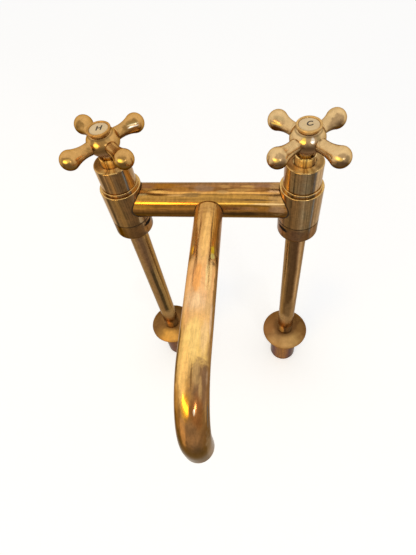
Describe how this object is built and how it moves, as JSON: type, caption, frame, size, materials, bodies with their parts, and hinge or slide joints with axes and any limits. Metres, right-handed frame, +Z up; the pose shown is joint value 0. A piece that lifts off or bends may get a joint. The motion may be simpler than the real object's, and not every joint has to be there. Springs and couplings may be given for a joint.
{
  "type": "pillar mixer tap",
  "caption": "Brass bridge mixer tap on two deck legs, with cross handles, rising-spindle valves and a fixed level spout that bends down at its end.",
  "frame": {"origin": "on the deck plane under the two flanges, midway between the two legs", "axes": "+Z up along the legs, -Y the way the spout points, +X from the hot column to the cold column"},
  "size_m": [0.2069, 0.2261, 0.3768],
  "materials": {
    "aged_brass": "aged, polished",
    "bridge_brass": "aged, polished, streaked",
    "spout_brass": "aged, polished, heat stained",
    "leg_brass": "aged, polished",
    "polished_brass": "polished",
    "handle_brass": "satin, hand worn",
    "satin_brass": "satin, tarnished",
    "shank_brass": "turned, tarnished",
    "plain_brass": "turned",
    "porcelain": "glazed cream porcelain",
    "rubber": "matt black",
    "fibre": "red vulcanised fibre"
  },
  "bodies": {
    "tap_frame": {"bridge_tube": "bridge_brass", "spout": "spout_brass", "hot_tail_shank": "shank_brass", "hot_deck_flange": "satin_brass", "hot_leg_tube": "leg_brass", "hot_leg_nut": "aged_brass", "hot_leg_washer": "fibre", "hot_valve_body": "aged_brass", "hot_body_washer": "fibre", "hot_headwork": "plain_brass", "hot_bonnet": "aged_brass", "hot_gland_packing": "rubber", "hot_gland_nut": "polished_brass", "cold_tail_shank": "shank_brass", "cold_deck_flange": "satin_brass", "cold_leg_tube": "leg_brass", "cold_leg_nut": "aged_brass", "cold_leg_washer": "fibre", "cold_valve_body": "aged_brass", "cold_body_washer": "fibre", "cold_headwork": "plain_brass", "cold_bonnet": "aged_brass", "cold_gland_packing": "rubber", "cold_gland_nut": "polished_brass"},
    "hot_valve_plug": {"hot_jumper": "plain_brass", "hot_tap_washer": "rubber", "hot_washer_nut": "plain_brass"},
    "hot_handle": {"hot_spindle": "plain_brass", "hot_handle_hub": "handle_brass", "hot_handle_arms": "handle_brass", "hot_handle_screw": "plain_brass", "hot_index_cap": "polished_brass", "hot_index_disc": "porcelain"},
    "cold_valve_plug": {"cold_jumper": "plain_brass", "cold_tap_washer": "rubber", "cold_washer_nut": "plain_brass"},
    "cold_handle": {"cold_spindle": "plain_brass", "cold_handle_hub": "handle_brass", "cold_handle_arms": "handle_brass", "cold_handle_screw": "plain_brass", "cold_index_cap": "polished_brass", "cold_index_disc": "porcelain"}
  },
  "joints": [
    {"name": "hot_spindle_rise", "type": "slide", "parent": "tap_frame", "child": "hot_valve_plug", "axis": [0, 0, 1], "range_m": [0, 0.00635]},
    {"name": "hot_handle_turn", "type": "hinge", "parent": "hot_valve_plug", "child": "hot_handle", "pos_m": [-0.075, 0, 0.3021], "axis": [0, 0, 1], "range_deg": [0, 900]},
    {"name": "cold_spindle_rise", "type": "slide", "parent": "tap_frame", "child": "cold_valve_plug", "axis": [0, 0, 1], "range_m": [0, 0.00635]},
    {"name": "cold_handle_turn", "type": "hinge", "parent": "cold_valve_plug", "child": "cold_handle", "pos_m": [0.075, 0, 0.3021], "axis": [0, 0, 1], "range_deg": [0, 900]}
  ],
  "couplings": [
    {"joint": "hot_spindle_rise", "follows": "hot_handle_turn", "m_per_rad": 0.00040425},
    {"joint": "cold_spindle_rise", "follows": "cold_handle_turn", "m_per_rad": 0.00040425}
  ]
}
